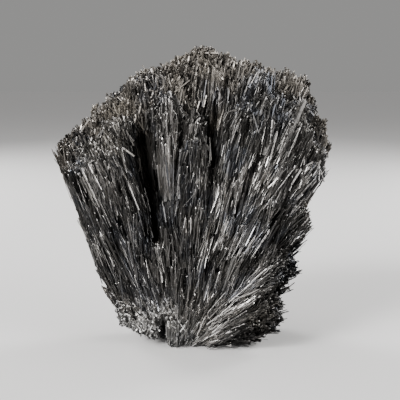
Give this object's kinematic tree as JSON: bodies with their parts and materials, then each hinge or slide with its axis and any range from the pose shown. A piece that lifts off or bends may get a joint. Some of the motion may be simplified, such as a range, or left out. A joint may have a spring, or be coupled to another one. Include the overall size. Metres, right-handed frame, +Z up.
{
  "type": "stibnite crystal spray",
  "caption": "Free-standing spray of metallic grey stibnite needles: sheaves of slender crystals fan upwards from one broken root.",
  "frame": {"origin": "middle of the spray's box in plan, on the surface that it rests on", "axes": "+Z up, +X to the right across the fan as seen from its show face, +Y from the show face to the back"},
  "size_m": [0.1116, 0.0694, 0.1208],
  "materials": {
    "stibnite": "satin",
    "weathered_stibnite": "satin",
    "broken_stibnite": "satin"
  },
  "bodies": {
    "root": {"root_mass": "broken_stibnite", "back_left_sheaf": "weathered_stibnite", "back_left_middle_sheaf": "weathered_stibnite", "back_middle_sheaf": "weathered_stibnite", "back_right_middle_sheaf": "weathered_stibnite", "back_right_sheaf": "weathered_stibnite", "crown_left_sheaf": "weathered_stibnite", "crown_left_shoulder_sheaf": "weathered_stibnite", "crown_left_peak_sheaf": "weathered_stibnite", "crown_summit_sheaf": "weathered_stibnite", "crown_right_peak_sheaf": "weathered_stibnite", "crown_right_shoulder_sheaf": "weathered_stibnite", "crown_right_sheaf": "weathered_stibnite", "front_left_sheaf": "stibnite", "front_left_inner_sheaf": "stibnite", "front_finger_sheaf": "stibnite", "front_middle_sheaf": "stibnite", "front_right_inner_sheaf": "stibnite", "front_right_sheaf": "stibnite", "front_right_outer_sheaf": "stibnite", "flank_upper_back_sheaf": "stibnite", "flank_upper_sheaf": "stibnite", "flank_middle_back_sheaf": "stibnite", "flank_middle_sheaf": "stibnite", "flank_lower_back_sheaf": "stibnite", "flank_lower_sheaf": "stibnite", "flank_lower_middle_sheaf": "stibnite"}
  },
  "joints": []
}
